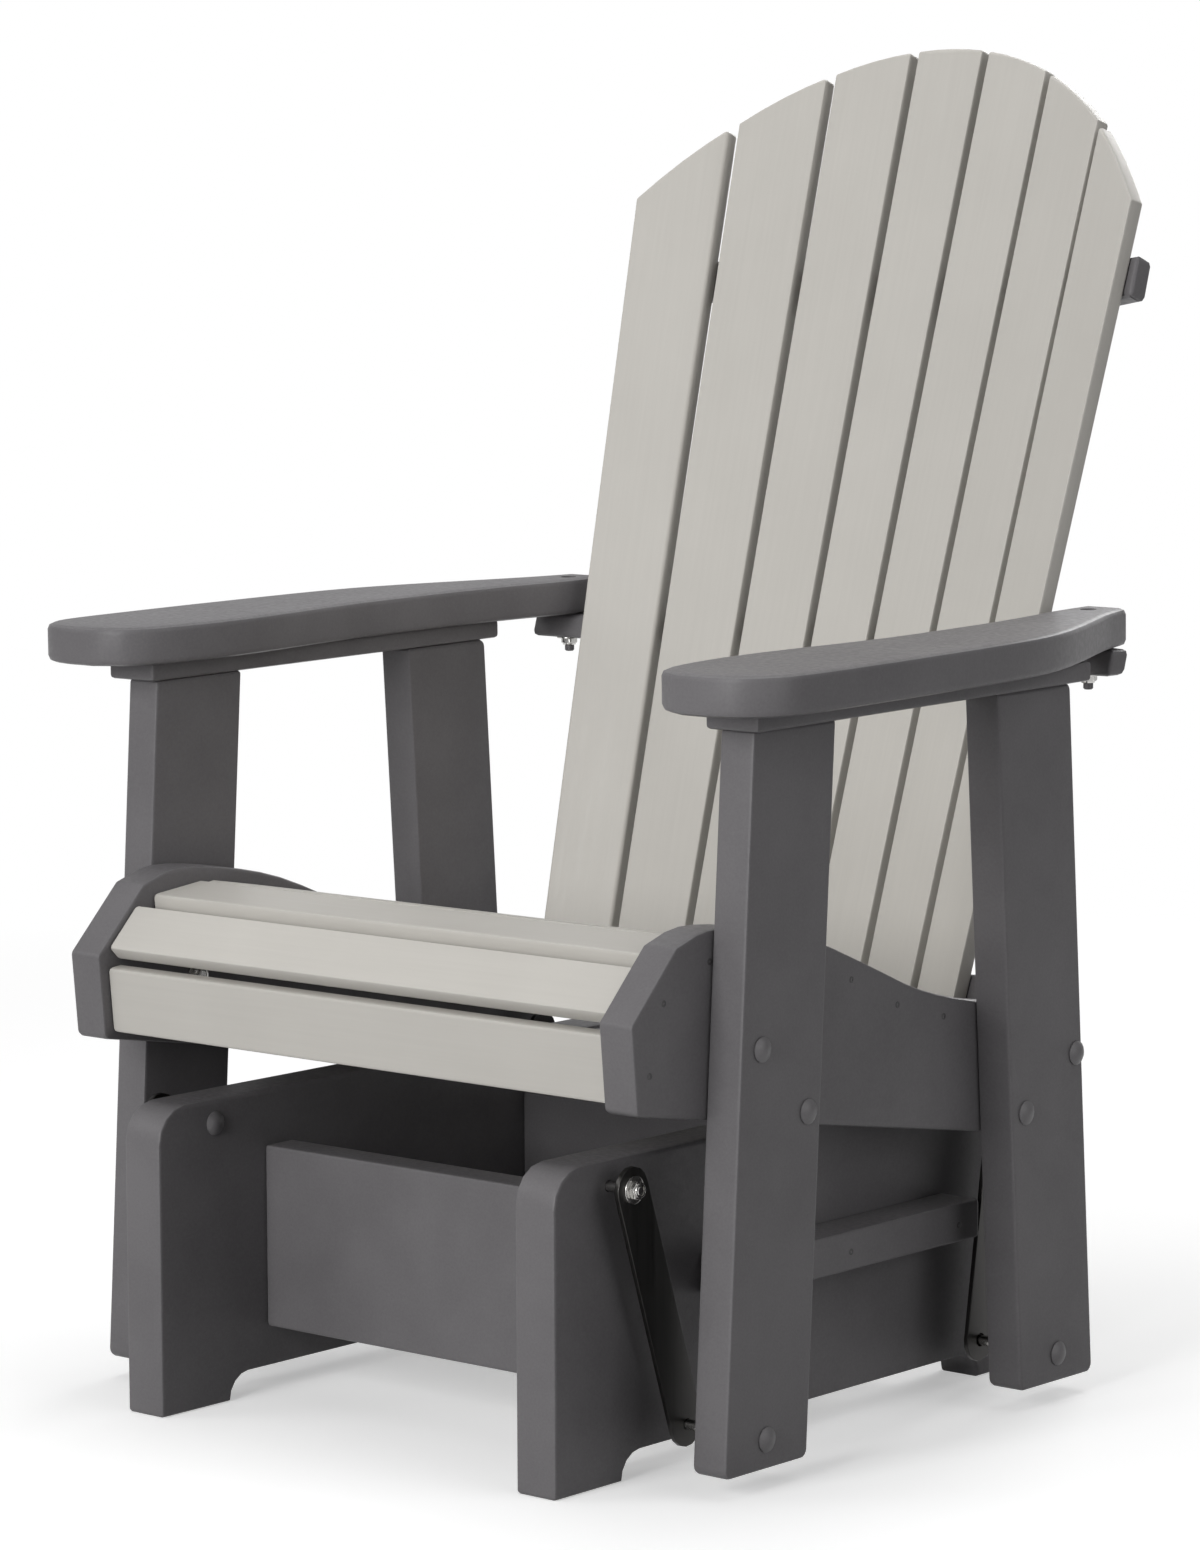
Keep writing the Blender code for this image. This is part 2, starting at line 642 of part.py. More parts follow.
def build_arm_rail(label, side):
    """Rail on top of the two legs of one side, under the armrest."""
    x = side * (LEG_OUTER_FACE + RAIL_OVERHANG - RAIL_WIDTH / 2)
    placing = ARM_PLANE @ Matrix.Translation((x, RAIL_LENGTH / 2, RAIL_BOARD / 2))
    size = (RAIL_WIDTH, RAIL_LENGTH, RAIL_BOARD)
    straight_board("arm_rail_" + label, size, placing, BOARD_EDGE, DARK_BOARD, seat)


def armrest_place(shares):
    """A share of the armrest's width and length as a place in its plane."""
    x = ARMREST_SPACING / 2 + shares[0] * ARMREST_WIDTH
    return Vector((x, ARMREST_SETBACK - RAIL_SETBACK + shares[1] * ARMREST_LENGTH))


def build_armrest(label, side):
    """Armrest, broad at the front and drawn in to a narrow tail beside the back."""
    inside = smooth_run([armrest_place(shares) for shares in ARMREST_INSIDE_SHARES])
    outside = smooth_run([armrest_place(shares) for shares in ARMREST_OUTSIDE_SHARES])
    corners = [(inside[0], ARMREST_TIP_CORNER)] + sharp(inside[1:] + outside[:-1])
    corners += [(outside[-1], ARMREST_TIP_CORNER)]
    outline = [Vector((side * point.x, point.y)) for point in rounded(corners)]
    placing = ARM_PLANE @ Matrix.Translation((0.0, 0.0, RAIL_BOARD + TOUCH_GAP + ARMREST_BOARD / 2))
    armrest = sawn_board("armrest_" + label, outline, ARMREST_BOARD, ARMREST_EDGE, placing, DARK_BOARD, seat)
    middle = RAIL_BOARD + TOUCH_GAP + ARMREST_BOARD / 2
    top = RAIL_BOARD + TOUCH_GAP + ARMREST_BOARD
    upright = ARM_PLANE.to_3x3().to_4x4()
    drill(armrest, armrest_bolt_place(side, middle), upright, HOLE_RADIUS, ARMREST_BOARD)
    head_hole = ARMREST_BOLT_HEAD_DIAMETER / 2 + COUNTERBORE_PLAY
    drill(armrest, armrest_bolt_place(side, top), upright, head_hole, 2 * (COUNTERBORE_DEPTH - CUT_OVERRUN))


def armrest_bolt_place(side, height):
    """Place on the armrest bolt's axis at a height over the arm rails' underside."""
    return ARM_PLANE @ Vector((side * ARMREST_BOLT_SPACING / 2, ARMREST_BOLT_SETBACK - RAIL_SETBACK, height))


def build_armrest_bolt(label, side):
    """Bolt whose head is sunk into the armrest's tail and whose shank runs down through the middle rail."""
    seat_height = RAIL_BOARD + 2 * TOUCH_GAP + ARMREST_BOARD - COUNTERBORE_DEPTH
    length = seat_height - RAIL_BOARD + MIDDLE_RAIL_BOARD + ARMREST_BOLT_END
    placing = Matrix.Translation(armrest_bolt_place(side, seat_height)) @ ARM_PLANE.to_3x3().to_4x4()
    bolt("armrest_bolt_" + label, flat_head(), placing, length, seat)


# Back

def back_point(radius, angle):
    """Place across the back at a radius and an angle round the axis of its curve, seen along the recline."""
    return Vector((radius * math.sin(angle), radius * math.cos(angle) - BACK_RADIUS))


def slat_widths(number):
    """Widths of a back slat at its foot and head."""
    steps_out = abs(number - BACK_SLAT_COUNT // 2)
    return SLAT_WIDTH_LOW * SLAT_LOW_SHARES[steps_out], SLAT_WIDTH_HIGH * SLAT_HIGH_SHARES[steps_out]


def slat_distances(number):
    """Distances round the back's curve from its middle to the middle of a slat, at its foot and its head."""
    steps_out = number - BACK_SLAT_COUNT // 2
    nearer = range(min(number, BACK_SLAT_COUNT // 2), max(number, BACK_SLAT_COUNT // 2))
    widths = [slat_widths(step) for step in nearer]
    beyond = [slat_widths(step + 1) for step in nearer]
    low = sum(pair[0] for pair in widths + beyond) / 2 + abs(steps_out) * SLAT_GAP_LOW
    high = sum(pair[1] for pair in widths + beyond) / 2 + abs(steps_out) * SLAT_GAP_HIGH
    return math.copysign(low, steps_out), math.copysign(high, steps_out)


def slat_lines(number):
    """Places of a back slat's foot and head along the recline, and its directions across and out behind."""
    low_angle, high_angle = (distance / BACK_RADIUS for distance in slat_distances(number))
    mean_angle = (low_angle + high_angle) / 2
    across = Vector((math.cos(mean_angle), -math.sin(mean_angle)))
    outward = Vector((math.sin(mean_angle), math.cos(mean_angle)))
    return back_point(BACK_RADIUS, low_angle), back_point(BACK_RADIUS, high_angle), across, outward


def slat_lean(number):
    """How far a back slat's side faces lean towards the middle of the back for each step out behind."""
    low_angle, high_angle = (distance / BACK_RADIUS for distance in slat_distances(number))
    return -math.tan((low_angle + high_angle) / 2 * SLAT_LEAN_SHARE)


def at_height(low, high, height):
    """A value that changes evenly from the foot of the back to its top, at a length up the recline."""
    return low + (high - low) * (height / BACK_LENGTH)


def arch_height(x):
    """Height of the back's top arch, part of an ellipse, over the floor."""
    return BACK_TOP - BACK_ARCH_RISE * (1 - math.sqrt(1 - (x / BACK_ARCH_REACH) ** 2))


def arch_meeting(low, up, across, widths, share):
    """Where a line at a share of a back slat's half width meets the arch, across the slat and up it."""
    height = BACK_LENGTH
    for _ in range(ARCH_ROUNDS):
        out = share * at_height(*widths, height) / 2
        point = low + up * height + across * out
        height += (arch_height(point.x) - point.z) / up.z
    return Vector((out, height))


def build_back_slat(number):
    """Tapered slat that fans out from the middle and whose top follows the arch."""
    foot, head, tangent, _ = slat_lines(number)
    low = BACK_PLANE @ foot.to_3d()
    high = BACK_PLANE @ Vector((head.x, head.y, BACK_LENGTH))
    up = (high - low).normalized()
    outward = (BACK_PLANE.to_3x3() @ tangent.to_3d()).cross(up).normalized()
    across = up.cross(outward)
    widths = slat_widths(number)
    half_foot = widths[0] / 2
    top = [arch_meeting(low, up, across, widths, share) for share in ARCH_SHARES]
    corners = [((-half_foot, 0.0), BACK_SLAT_EDGE), ((half_foot, 0.0), BACK_SLAT_EDGE)]
    corners += [(top[0], BACK_SLAT_EDGE)] + sharp(top[1:-1]) + [(top[-1], BACK_SLAT_EDGE)]
    turn = Matrix((across, up, outward)).transposed().to_4x4()
    lean = slat_lean(number)
    placing = Matrix.Translation(low) @ turn
    placing @= Matrix.Translation((lean * SLAT_BOARD / 2, 0.0, -SLAT_BOARD / 2))
    sawn_board(f"back_slat_{number + 1}", rounded(corners), SLAT_BOARD, BACK_SLAT_EDGE, placing, LIGHT_BOARD,
               seat, shear=(-lean, 0.0))


def slat_seats(place, level):
    """Ends of the flats on which the back slats lie against a rail, from one side to the other."""
    seats = []
    for number in range(BACK_SLAT_COUNT):
        foot, head, across, outward = slat_lines(number)
        height = place
        if level:
            height += at_height(foot, head, place).y * math.tan(BACK_RECLINE)
        reach = at_height(*slat_widths(number), height) / 2
        reach += at_height(SLAT_GAP_LOW, SLAT_GAP_HIGH, height) * SEAT_MARGIN_SHARE
        middle = at_height(foot, head, height) + outward * (SLAT_BOARD + TOUCH_GAP)
        middle += across * (SLAT_BOARD * slat_lean(number))
        seats += [middle - across * reach, middle + across * reach]
    return seats


def rail_outline(seats, end_front, end_rear, rear_middle, length):
    """Outline of a curved rail that is cut square to a length, with an arc along its rear."""
    reach = length / 2
    bow = rear_middle - end_rear
    radius = (reach ** 2 + bow ** 2) / (2 * bow)
    half_angle = math.asin(reach / radius)
    upright = math.radians(90)
    centre = (0.0, rear_middle - radius)
    rear_run = arc(centre, radius, upright - half_angle, upright + half_angle, BAND_STEPS)
    corners = [((-reach, end_front), BOARD_EDGE)] + sharp(seats) + [((reach, end_front), BOARD_EDGE)]
    corners += [((reach, end_rear), BOARD_EDGE)] + sharp(rear_run[1:-1]) + [((-reach, end_rear), BOARD_EDGE)]
    return rounded(corners)


def build_back_rail(name, place, width, length):
    """Curved rail behind the back slats, square to their recline, with ends in line with the outer flats."""
    seats = slat_seats(place, False)
    inner, outer = seats[-2:]
    end_front = inner.y + (outer.y - inner.y) * (length / 2 - inner.x) / (outer.x - inner.x)
    rear = SLAT_BOARD + TOUCH_GAP + BACK_RAIL_BOARD
    end_rear = back_point(BACK_RADIUS + rear, math.asin(length / 2 / (BACK_RADIUS + rear))).y
    outline = rail_outline(seats[1:-1], end_front, end_rear, rear, length)
    placing = BACK_PLANE @ Matrix.Translation((0.0, 0.0, place))
    sawn_board(name, outline, width, BACK_RAIL_EDGE, placing, DARK_BOARD, seat)


def build_middle_rail():
    """Level rail behind the back slats, whose ears lie under the tails of the armrests."""
    rear_slope = math.tan(BACK_RECLINE)
    ear_front = MIDDLE_RAIL_EAR_SETBACK - RAIL_SETBACK
    height = RAIL_HEIGHT + RAIL_BOARD + ear_front * math.tan(ARM_RISE) - TOUCH_GAP - MIDDLE_RAIL_BOARD / 2
    place = (height - BACK_BOTTOM) / math.cos(BACK_RECLINE)
    setback = BACK_SETBACK + (height - BACK_BOTTOM) * rear_slope
    seats = [Vector((seat.x, seat.y / math.cos(BACK_RECLINE))) for seat in slat_seats(place, True)]
    end_front = MIDDLE_RAIL_EAR_SETBACK - setback
    rear_middle = (SLAT_BOARD + TOUCH_GAP + BACK_RAIL_BOARD) / math.cos(BACK_RECLINE)
    outline = rail_outline(seats, end_front, end_front + MIDDLE_RAIL_EAR, rear_middle, MIDDLE_RAIL_LENGTH)
    placing = Matrix.Translation((0.0, setback, height))
    rail = sawn_board("back_rail_middle", outline, MIDDLE_RAIL_BOARD, BACK_RAIL_EDGE, placing, DARK_BOARD,
                      seat, shear=(0.0, rear_slope))
    for side in SIDES.values():
        through = armrest_bolt_place(side, RAIL_BOARD - MIDDLE_RAIL_BOARD / 2)
        drill(rail, through, ARM_PLANE.to_3x3().to_4x4(), HOLE_RADIUS, MIDDLE_RAIL_BOARD)


def centre_chair():
    """Move the whole chair along Y so that its middle stands over the origin."""
    view = bpy.context.evaluated_depsgraph_get()
    reach = []
    for piece in chair.objects:
        if piece.type == "MESH":
            finished = piece.evaluated_get(view)
            reach += [(finished.matrix_world @ point.co).y for point in finished.data.vertices]
    base.location.y -= (min(reach) + max(reach)) / 2
    bpy.context.view_layer.update()


clear_scene()
chair = new_collection("glider_chair")
guides = new_collection("cutters")
base = new_empty("base", (0.0, 0.0, 0.0))
arms = {end: new_empty(end + "_arms", UPPER_PIVOTS[end], base) for end in LEANS}
seat = new_empty("seat_frame", LOWER_PIVOTS["front"], arms["front"])

build_base_panel("base_front_panel", FRONT_PANEL_SETBACK)
build_base_panel("base_rear_panel", REAR_PANEL_SETBACK)
for label, side in SIDES.items():
    build_base_side(label, side)
    build_stop_strip(label, side)
    build_seat_side(label, side)
    build_arm_rail(label, side)
    build_armrest(label, side)
    build_armrest_bolt(label, side)
    for end in LEANS:
        build_swing_arm(end, label, side)
        build_pivot_bolts(end, label, side)
        build_leg(end, label, side)
        build_leg_bolts(end, label, side)
build_front_slats()
build_seat_slats()
for number in range(BACK_SLAT_COUNT):
    build_back_slat(number)
build_back_rail("back_rail_lower", LOWER_RAIL_PLACE, LOWER_RAIL_WIDTH, SEAT_SLAT_LENGTH)
build_back_rail("back_rail_upper", UPPER_RAIL_PLACE, UPPER_RAIL_WIDTH, UPPER_RAIL_LENGTH)
build_middle_rail()
centre_chair()
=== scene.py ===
import json
import math
import bpy
import numpy as np
from mathutils import Matrix, Vector


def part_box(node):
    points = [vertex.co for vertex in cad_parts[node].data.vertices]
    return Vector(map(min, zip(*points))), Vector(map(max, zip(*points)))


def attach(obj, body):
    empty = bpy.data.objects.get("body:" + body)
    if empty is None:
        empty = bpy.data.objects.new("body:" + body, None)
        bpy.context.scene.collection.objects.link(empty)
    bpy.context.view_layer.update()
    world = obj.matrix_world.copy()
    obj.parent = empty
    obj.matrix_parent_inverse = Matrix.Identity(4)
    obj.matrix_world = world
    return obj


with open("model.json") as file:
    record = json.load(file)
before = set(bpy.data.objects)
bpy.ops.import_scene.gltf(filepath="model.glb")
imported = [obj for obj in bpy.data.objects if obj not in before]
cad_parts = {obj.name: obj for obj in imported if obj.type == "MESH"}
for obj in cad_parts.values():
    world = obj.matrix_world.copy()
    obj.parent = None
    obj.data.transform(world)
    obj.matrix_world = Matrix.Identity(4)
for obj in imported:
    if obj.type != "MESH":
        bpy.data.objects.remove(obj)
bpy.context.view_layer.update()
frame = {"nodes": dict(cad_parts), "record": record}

nodes = frame["nodes"]
bodyNodes = frame["record"]["behaviour"]["bodies"]
bodyOf = {node: body for body, names in bodyNodes.items() for node in names}
sideSigns = {"left": 1, "right": -1}
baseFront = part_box("base_side_left")[0].y  # drawn places are measured back from here
print("frame loaded:", len(nodes), "nodes")


def linear(hexColour):
    values = [int(hexColour[place:place + 2], 16) / 255 for place in (1, 3, 5)]
    return [v / 12.92 if v <= 0.04045 else ((v + 0.055) / 1.055) ** 2.4 for v in values] + [1.0]


def addNode(tree, kind, settings=None, links=None):
    node = tree.nodes.new(kind)
    for name, value in (settings or {}).items():
        if isinstance(name, str) and hasattr(node, name):
            setattr(node, name, value)
        else:
            node.inputs[name].default_value = value
    for name, source in (links or {}).items():
        tree.links.new(source, node.inputs[name])
    return node


def newMaterial(name):
    material = bpy.data.materials.new(name)
    material.use_nodes = True
    material.node_tree.nodes.clear()
    return material, material.node_tree


def perMetre(millimetres):
    return 1000 / millimetres  # noise scale that gives one feature in this many millimetres


# What the patterns share: how finely a noise breaks up, and the values that nearly all of it lies between
noise = {"soft": 2.0, "middling": 3.0, "fine": 4.0, "low": 0.3, "high": 0.7}

# Poly lumber, extruded and embossed: an even charcoal skin with fine pebbles that break up its soft sheen
darkLumber = {
    "shade": "#656365", "tint": "#6f6d6f", "cloudSize": 70, "pebbleSize": 1.9, "speckSize": 4.5,
    "cloudShare": 0.6, "patchLow": 0.35, "patchHigh": 0.65, "pebbleHeight": 0.00010, "pebbleStrength": 0.30,
    "roughLow": 0.38, "roughHigh": 0.52, "gloss": 0.26, "ior": 1.5,
}


def makeDarkLumber(settings):
    material, tree = newMaterial("PolyLumberEmbossedCharcoal")
    coords = addNode(tree, "ShaderNodeTexCoord").outputs["Object"]
    clouds = addNode(tree, "ShaderNodeTexNoise", {"Scale": perMetre(settings["cloudSize"]),
                     "Detail": noise["middling"]}, {"Vector": coords}).outputs[0]
    # the real pebbles are about 1 mm, drawn nearly twice as coarse so that they still show
    pebbles = addNode(tree, "ShaderNodeTexNoise", {"Scale": perMetre(settings["pebbleSize"]),
                      "Detail": noise["soft"]}, {"Vector": coords}).outputs[0]
    specks = addNode(tree, "ShaderNodeTexNoise", {"Scale": perMetre(settings["speckSize"]),
                     "Detail": noise["fine"]}, {"Vector": coords}).outputs[0]
    pebbled = addNode(tree, "ShaderNodeMath", {"operation": "MULTIPLY", 1: 1 - settings["cloudShare"]},
                      {0: pebbles}).outputs[0]
    patches = addNode(tree, "ShaderNodeMath", {"operation": "MULTIPLY_ADD", 1: settings["cloudShare"]},
                      {0: clouds, 2: pebbled}).outputs[0]
    spread = addNode(tree, "ShaderNodeMapRange", {"From Min": settings["patchLow"],
                     "From Max": settings["patchHigh"]}, {"Value": patches}).outputs[0]
    colour = addNode(tree, "ShaderNodeMix", {"data_type": "RGBA", 6: linear(settings["shade"]),
                     7: linear(settings["tint"])}, {0: spread}).outputs[2]
    rough = addNode(tree, "ShaderNodeMapRange", {"From Min": noise["low"], "From Max": noise["high"],
                    "To Min": settings["roughLow"], "To Max": settings["roughHigh"]},
                    {"Value": specks}).outputs[0]
    bump = addNode(tree, "ShaderNodeBump", {"Strength": settings["pebbleStrength"],
                   "Distance": settings["pebbleHeight"]}, {"Height": pebbles}).outputs[0]
    shader = addNode(tree, "ShaderNodeBsdfPrincipled", {"IOR": settings["ior"],
                     "Specular IOR Level": settings["gloss"]},
                     {"Base Color": colour, "Roughness": rough, "Normal": bump}).outputs[0]
    addNode(tree, "ShaderNodeOutputMaterial", {}, {"Surface": shader})
    return material


# Poly lumber, extruded and brushed: warm pale grey with faint streaks along each board
lightLumber = {
    "shade": "#bebbb5", "tint": "#c3c0ba", "streakWidth": 3.2, "streakLength": 130, "cloudSize": 90,
    "pebbleSize": 1.8, "streakShare": 0.5, "streakRoughness": 0.6, "patchLow": 0.34, "patchHigh": 0.66,
    "grainHeight": 0.00008, "grainStrength": 0.16, "roughLow": 0.34, "roughHigh": 0.48, "gloss": 0.26,
    "ior": 1.5, "shiftStep": 0.37,
}


def makeLightLumber(name, settings, along, shift):
    material, tree = newMaterial(name)
    coords = addNode(tree, "ShaderNodeTexCoord").outputs["Object"]
    # the pattern's long axis is turned to lie along the board, and no two boards share a stretch of it
    turn = along.to_track_quat("Z", "Y").to_matrix().transposed().to_euler()
    turned = addNode(tree, "ShaderNodeMapping", {"Rotation": tuple(turn), "Location": (shift, 0.0, shift)},
                     {"Vector": coords}).outputs[0]
    wide, long = perMetre(settings["streakWidth"]), perMetre(settings["streakLength"])
    stretched = addNode(tree, "ShaderNodeMapping", {"Scale": (wide, wide, long)},
                        {"Vector": turned}).outputs[0]
    streaks = addNode(tree, "ShaderNodeTexNoise", {"Scale": 1.0, "Detail": noise["fine"],
                      "Roughness": settings["streakRoughness"]}, {"Vector": stretched}).outputs[0]
    clouds = addNode(tree, "ShaderNodeTexNoise", {"Scale": perMetre(settings["cloudSize"]),
                     "Detail": noise["soft"]}, {"Vector": turned}).outputs[0]
    pebbles = addNode(tree, "ShaderNodeTexNoise", {"Scale": perMetre(settings["pebbleSize"]),
                      "Detail": noise["soft"]}, {"Vector": turned}).outputs[0]
    clouded = addNode(tree, "ShaderNodeMath", {"operation": "MULTIPLY", 1: 1 - settings["streakShare"]},
                      {0: clouds}).outputs[0]
    patches = addNode(tree, "ShaderNodeMath", {"operation": "MULTIPLY_ADD", 1: settings["streakShare"]},
                      {0: streaks, 2: clouded}).outputs[0]
    spread = addNode(tree, "ShaderNodeMapRange", {"From Min": settings["patchLow"],
                     "From Max": settings["patchHigh"]}, {"Value": patches}).outputs[0]
    colour = addNode(tree, "ShaderNodeMix", {"data_type": "RGBA", 6: linear(settings["shade"]),
                     7: linear(settings["tint"])}, {0: spread}).outputs[2]
    height = addNode(tree, "ShaderNodeMath", {"operation": "ADD"}, {0: streaks, 1: pebbles}).outputs[0]
    bump = addNode(tree, "ShaderNodeBump", {"Strength": settings["grainStrength"],
                   "Distance": settings["grainHeight"]}, {"Height": height}).outputs[0]
    rough = addNode(tree, "ShaderNodeMapRange", {"From Min": noise["low"], "From Max": noise["high"],
                    "To Min": settings["roughLow"], "To Max": settings["roughHigh"]},
                    {"Value": streaks}).outputs[0]
    shader = addNode(tree, "ShaderNodeBsdfPrincipled", {"IOR": settings["ior"],
                     "Specular IOR Level": settings["gloss"]},
                     {"Base Color": colour, "Roughness": rough, "Normal": bump}).outputs[0]
    addNode(tree, "ShaderNodeOutputMaterial", {}, {"Surface": shader})
    return material


# Steel, drawn flat bar: fine lines along it, and set near black as the swing arms look: that near black is
# painted shade and painted dark reflection on what is bright steel
drawnSteelPaintedShade = {"shade": "#3d3c3b", "tint": "#474645", "grain": (1.2, 1.2, 80), "grainHeight": 0.000006,
              "grainStrength": 0.3, "roughLow": 0.28, "roughHigh": 0.40}

# Stainless steel, rolled and turned: plain and bright, as the nuts and the bare ends of the bolts are
rolledSteel = {"shade": "#bdbcba", "tint": "#cccbc8", "grain": (1.5, 1.5, 1.5), "grainHeight": 0.000006,
               "grainStrength": 0.3, "roughLow": 0.14, "roughHigh": 0.26}


def addSteel(tree, coords, settings):
    scale = tuple(perMetre(size) for size in settings["grain"])
    stretched = addNode(tree, "ShaderNodeMapping", {"Scale": scale}, {"Vector": coords}).outputs[0]
    lines = addNode(tree, "ShaderNodeTexNoise", {"Scale": 1.0, "Detail": noise["fine"]},
                    {"Vector": stretched}).outputs[0]
    colour = addNode(tree, "ShaderNodeMix", {"data_type": "RGBA", 6: linear(settings["shade"]),
                     7: linear(settings["tint"])}, {0: lines}).outputs[2]
    rough = addNode(tree, "ShaderNodeMapRange", {"From Min": noise["low"], "From Max": noise["high"],
                    "To Min": settings["roughLow"], "To Max": settings["roughHigh"]},
                    {"Value": lines}).outputs[0]
    bump = addNode(tree, "ShaderNodeBump", {"Strength": settings["grainStrength"],
                   "Distance": settings["grainHeight"]}, {"Height": lines}).outputs[0]
    return addNode(tree, "ShaderNodeBsdfPrincipled", {"Metallic": 1.0},
                   {"Base Color": colour, "Roughness": rough, "Normal": bump}).outputs[0]


def makeSteel(name, settings):
    material, tree = newMaterial(name)
    coords = addNode(tree, "ShaderNodeTexCoord").outputs["Object"]
    addNode(tree, "ShaderNodeOutputMaterial", {}, {"Surface": addSteel(tree, coords, settings)})
    return material


# Stainless bolt with a baked charcoal coat: its head takes the board's colour, and the thread stays bare
headCoat = {"shade": "#5b595b", "tint": "#656365", "speckSize": 1.6, "speckHeight": 0.00005,
            "speckStrength": 0.2, "rough": 0.42, "ior": 1.5}

# Steel trim screw with the same coat all over: dull charcoal, a little darker than the boards
screwCoat = {"shade": "#3a393a", "tint": "#474546", "speckSize": 1.2, "speckHeight": 0.00005,
             "speckStrength": 0.2, "rough": 0.5, "ior": 1.5}


def makeCoated(name, settings, coatFrom, coatTo):
    material, tree = newMaterial(name)
    coords = addNode(tree, "ShaderNodeTexCoord").outputs["Object"]
    bare = addSteel(tree, coords, rolledSteel)
    specks = addNode(tree, "ShaderNodeTexNoise", {"Scale": perMetre(settings["speckSize"]),
                     "Detail": noise["middling"]}, {"Vector": coords}).outputs[0]
    colour = addNode(tree, "ShaderNodeMix", {"data_type": "RGBA", 6: linear(settings["shade"]),
                     7: linear(settings["tint"])}, {0: specks}).outputs[2]
    bump = addNode(tree, "ShaderNodeBump", {"Strength": settings["speckStrength"],
                   "Distance": settings["speckHeight"]}, {"Height": specks}).outputs[0]
    coat = addNode(tree, "ShaderNodeBsdfPrincipled", {"IOR": settings["ior"],
                   "Roughness": settings["rough"]}, {"Base Color": colour, "Normal": bump}).outputs[0]
    # the coat lies between two distances from the chair's middle plane
    across = addNode(tree, "ShaderNodeSeparateXYZ", {}, {0: coords}).outputs[0]
    out = addNode(tree, "ShaderNodeMath", {"operation": "ABSOLUTE"}, {0: across}).outputs[0]
    beyond = addNode(tree, "ShaderNodeMath", {"operation": "GREATER_THAN", 1: coatFrom}, {0: out}).outputs[0]
    within = addNode(tree, "ShaderNodeMath", {"operation": "LESS_THAN", 1: coatTo}, {0: out}).outputs[0]
    coated = addNode(tree, "ShaderNodeMath", {"operation": "MULTIPLY"}, {0: beyond, 1: within}).outputs[0]
    mixed = addNode(tree, "ShaderNodeMixShader", {}, {0: coated, 1: bare, 2: coat}).outputs[0]
    addNode(tree, "ShaderNodeOutputMaterial", {}, {"Surface": mixed})
    return material


def boardAxes(node):
    points = np.array([vertex.co for vertex in nodes[node].data.vertices])
    middle = points.mean(0)
    turn = np.linalg.svd(points - middle, full_matrices=False)[2]
    return Vector(middle), Vector(turn[0]), Vector(turn[2])


# Rounded edges come in as loose flat facets. Joining and shading them keeps the shape and hides the bands
rounding = {"join": 0.00001, "angle": 38, "flatWeight": 100}


def makeRounding(settings):
    group = bpy.data.node_groups.new("roundedShading", "GeometryNodeTree")
    group.interface.new_socket("Geometry", in_out="INPUT", socket_type="NodeSocketGeometry")
    group.interface.new_socket("Geometry", in_out="OUTPUT", socket_type="NodeSocketGeometry")
    start = addNode(group, "NodeGroupInput").outputs[0]
    joined = addNode(group, "GeometryNodeMergeByDistance", {"Distance": settings["join"]},
                     {"Geometry": start}).outputs[0]
    plain = addNode(group, "GeometryNodeRemoveAttribute", {"Name": "custom_normal"}, {0: joined}).outputs[0]
    bend = addNode(group, "GeometryNodeInputMeshEdgeAngle").outputs["Unsigned Angle"]
    gentle = addNode(group, "FunctionNodeCompare", {"operation": "LESS_EQUAL",
                     1: math.radians(settings["angle"])}, {0: bend}).outputs[0]
    edged = addNode(group, "GeometryNodeSetShadeSmooth", {"domain": "EDGE"},
                    {"Geometry": plain, "Shade Smooth": gentle}).outputs[0]
    faced = addNode(group, "GeometryNodeSetShadeSmooth", {"domain": "FACE"}, {"Geometry": edged}).outputs[0]
    addNode(group, "NodeGroupOutput", {}, {0: faced})
    return group


roundedShading = makeRounding(rounding)
for node in nodes.values():
    node.modifiers.new("rounded", "NODES").node_group = roundedShading
    flats = node.modifiers.new("flats", "WEIGHTED_NORMAL")  # broad faces stay flat up to their round edges
    flats.mode = "FACE_AREA"
    flats.weight = rounding["flatWeight"]
    flats.keep_sharp = True
print("edges shaded round")

# The bolts' heads lie outside the legs, and inside the base's sides
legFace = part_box("front_leg_left")[1].x
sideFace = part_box("base_side_left")[0].x
wellOutside = 1.0  # past everything on the chair
charcoal = makeDarkLumber(darkLumber)
# the swing arms' near-black steel colour is painted shade and painted dark reflection
steelBarPaintedShade = makeSteel("SteelDrawnBarPaintedShade", drawnSteelPaintedShade)
steelBolt = makeSteel("StainlessSteelRolled", rolledSteel)
outerCoat = makeCoated("StainlessBoltCoatedHeadOutside", headCoat, legFace, wellOutside)
innerCoat = makeCoated("StainlessBoltCoatedHeadInside", headCoat, 0.0, sideFace)
fullCoat = makeCoated("StainlessBoltCoatedHeadSunk", headCoat, 0.0, wellOutside)
screwFinish = makeCoated("SteelScrewCoatedCharcoal", screwCoat, 0.0, wellOutside)
for count, node in enumerate(sorted(nodes)):
    material = charcoal
    if node.startswith(("seat_slat", "seat_nose", "seat_fascia", "back_slat")):
        along = boardAxes(node)[1] if node.startswith("back_slat") else Vector((1.0, 0.0, 0.0))
        material = makeLightLumber("PolyLumberBrushedStone_" + node, lightLumber, along,
                                   count * lightLumber["shiftStep"])
    elif node.startswith("swing_arm"):
        # the swing arms get the steel whose colour holds painted shade and reflection
        material = steelBarPaintedShade
    elif node.startswith("upper_pivot"):
        material = innerCoat
    elif node.startswith(("lower_pivot", "leg_bolt")):
        material = outerCoat
    elif node.startswith("armrest_bolt"):
        material = fullCoat
    nodes[node].data.materials.clear()
    nodes[node].data.materials.append(material)
print("materials given to the frame")
